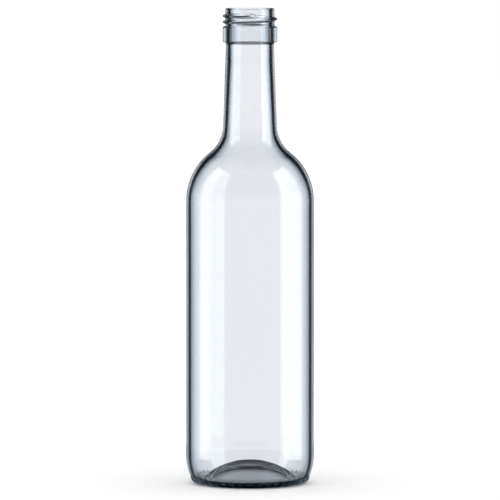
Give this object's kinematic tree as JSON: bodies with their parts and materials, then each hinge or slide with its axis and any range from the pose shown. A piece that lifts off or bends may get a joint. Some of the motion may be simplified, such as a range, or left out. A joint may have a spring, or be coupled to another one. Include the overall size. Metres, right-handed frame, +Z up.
{
  "type": "bordeaux wine bottle",
  "caption": "Empty clear glass Bordeaux bottle with a screw-thread neck, straight body, high shoulder and punted base.",
  "frame": {"origin": "centre of the flat ring that the bottle stands on, at the surface it rests on", "axes": "+Z up along the bottle's axis, +X to the right seen from the front, -Y towards the front, where the thread starts"},
  "size_m": [0.0686, 0.0686, 0.2553],
  "materials": {
    "flint_glass": "clear flint glass, fire-polished, faint blue-grey cast"
  },
  "bodies": {
    "root": {"bottle": "flint_glass"}
  },
  "joints": []
}
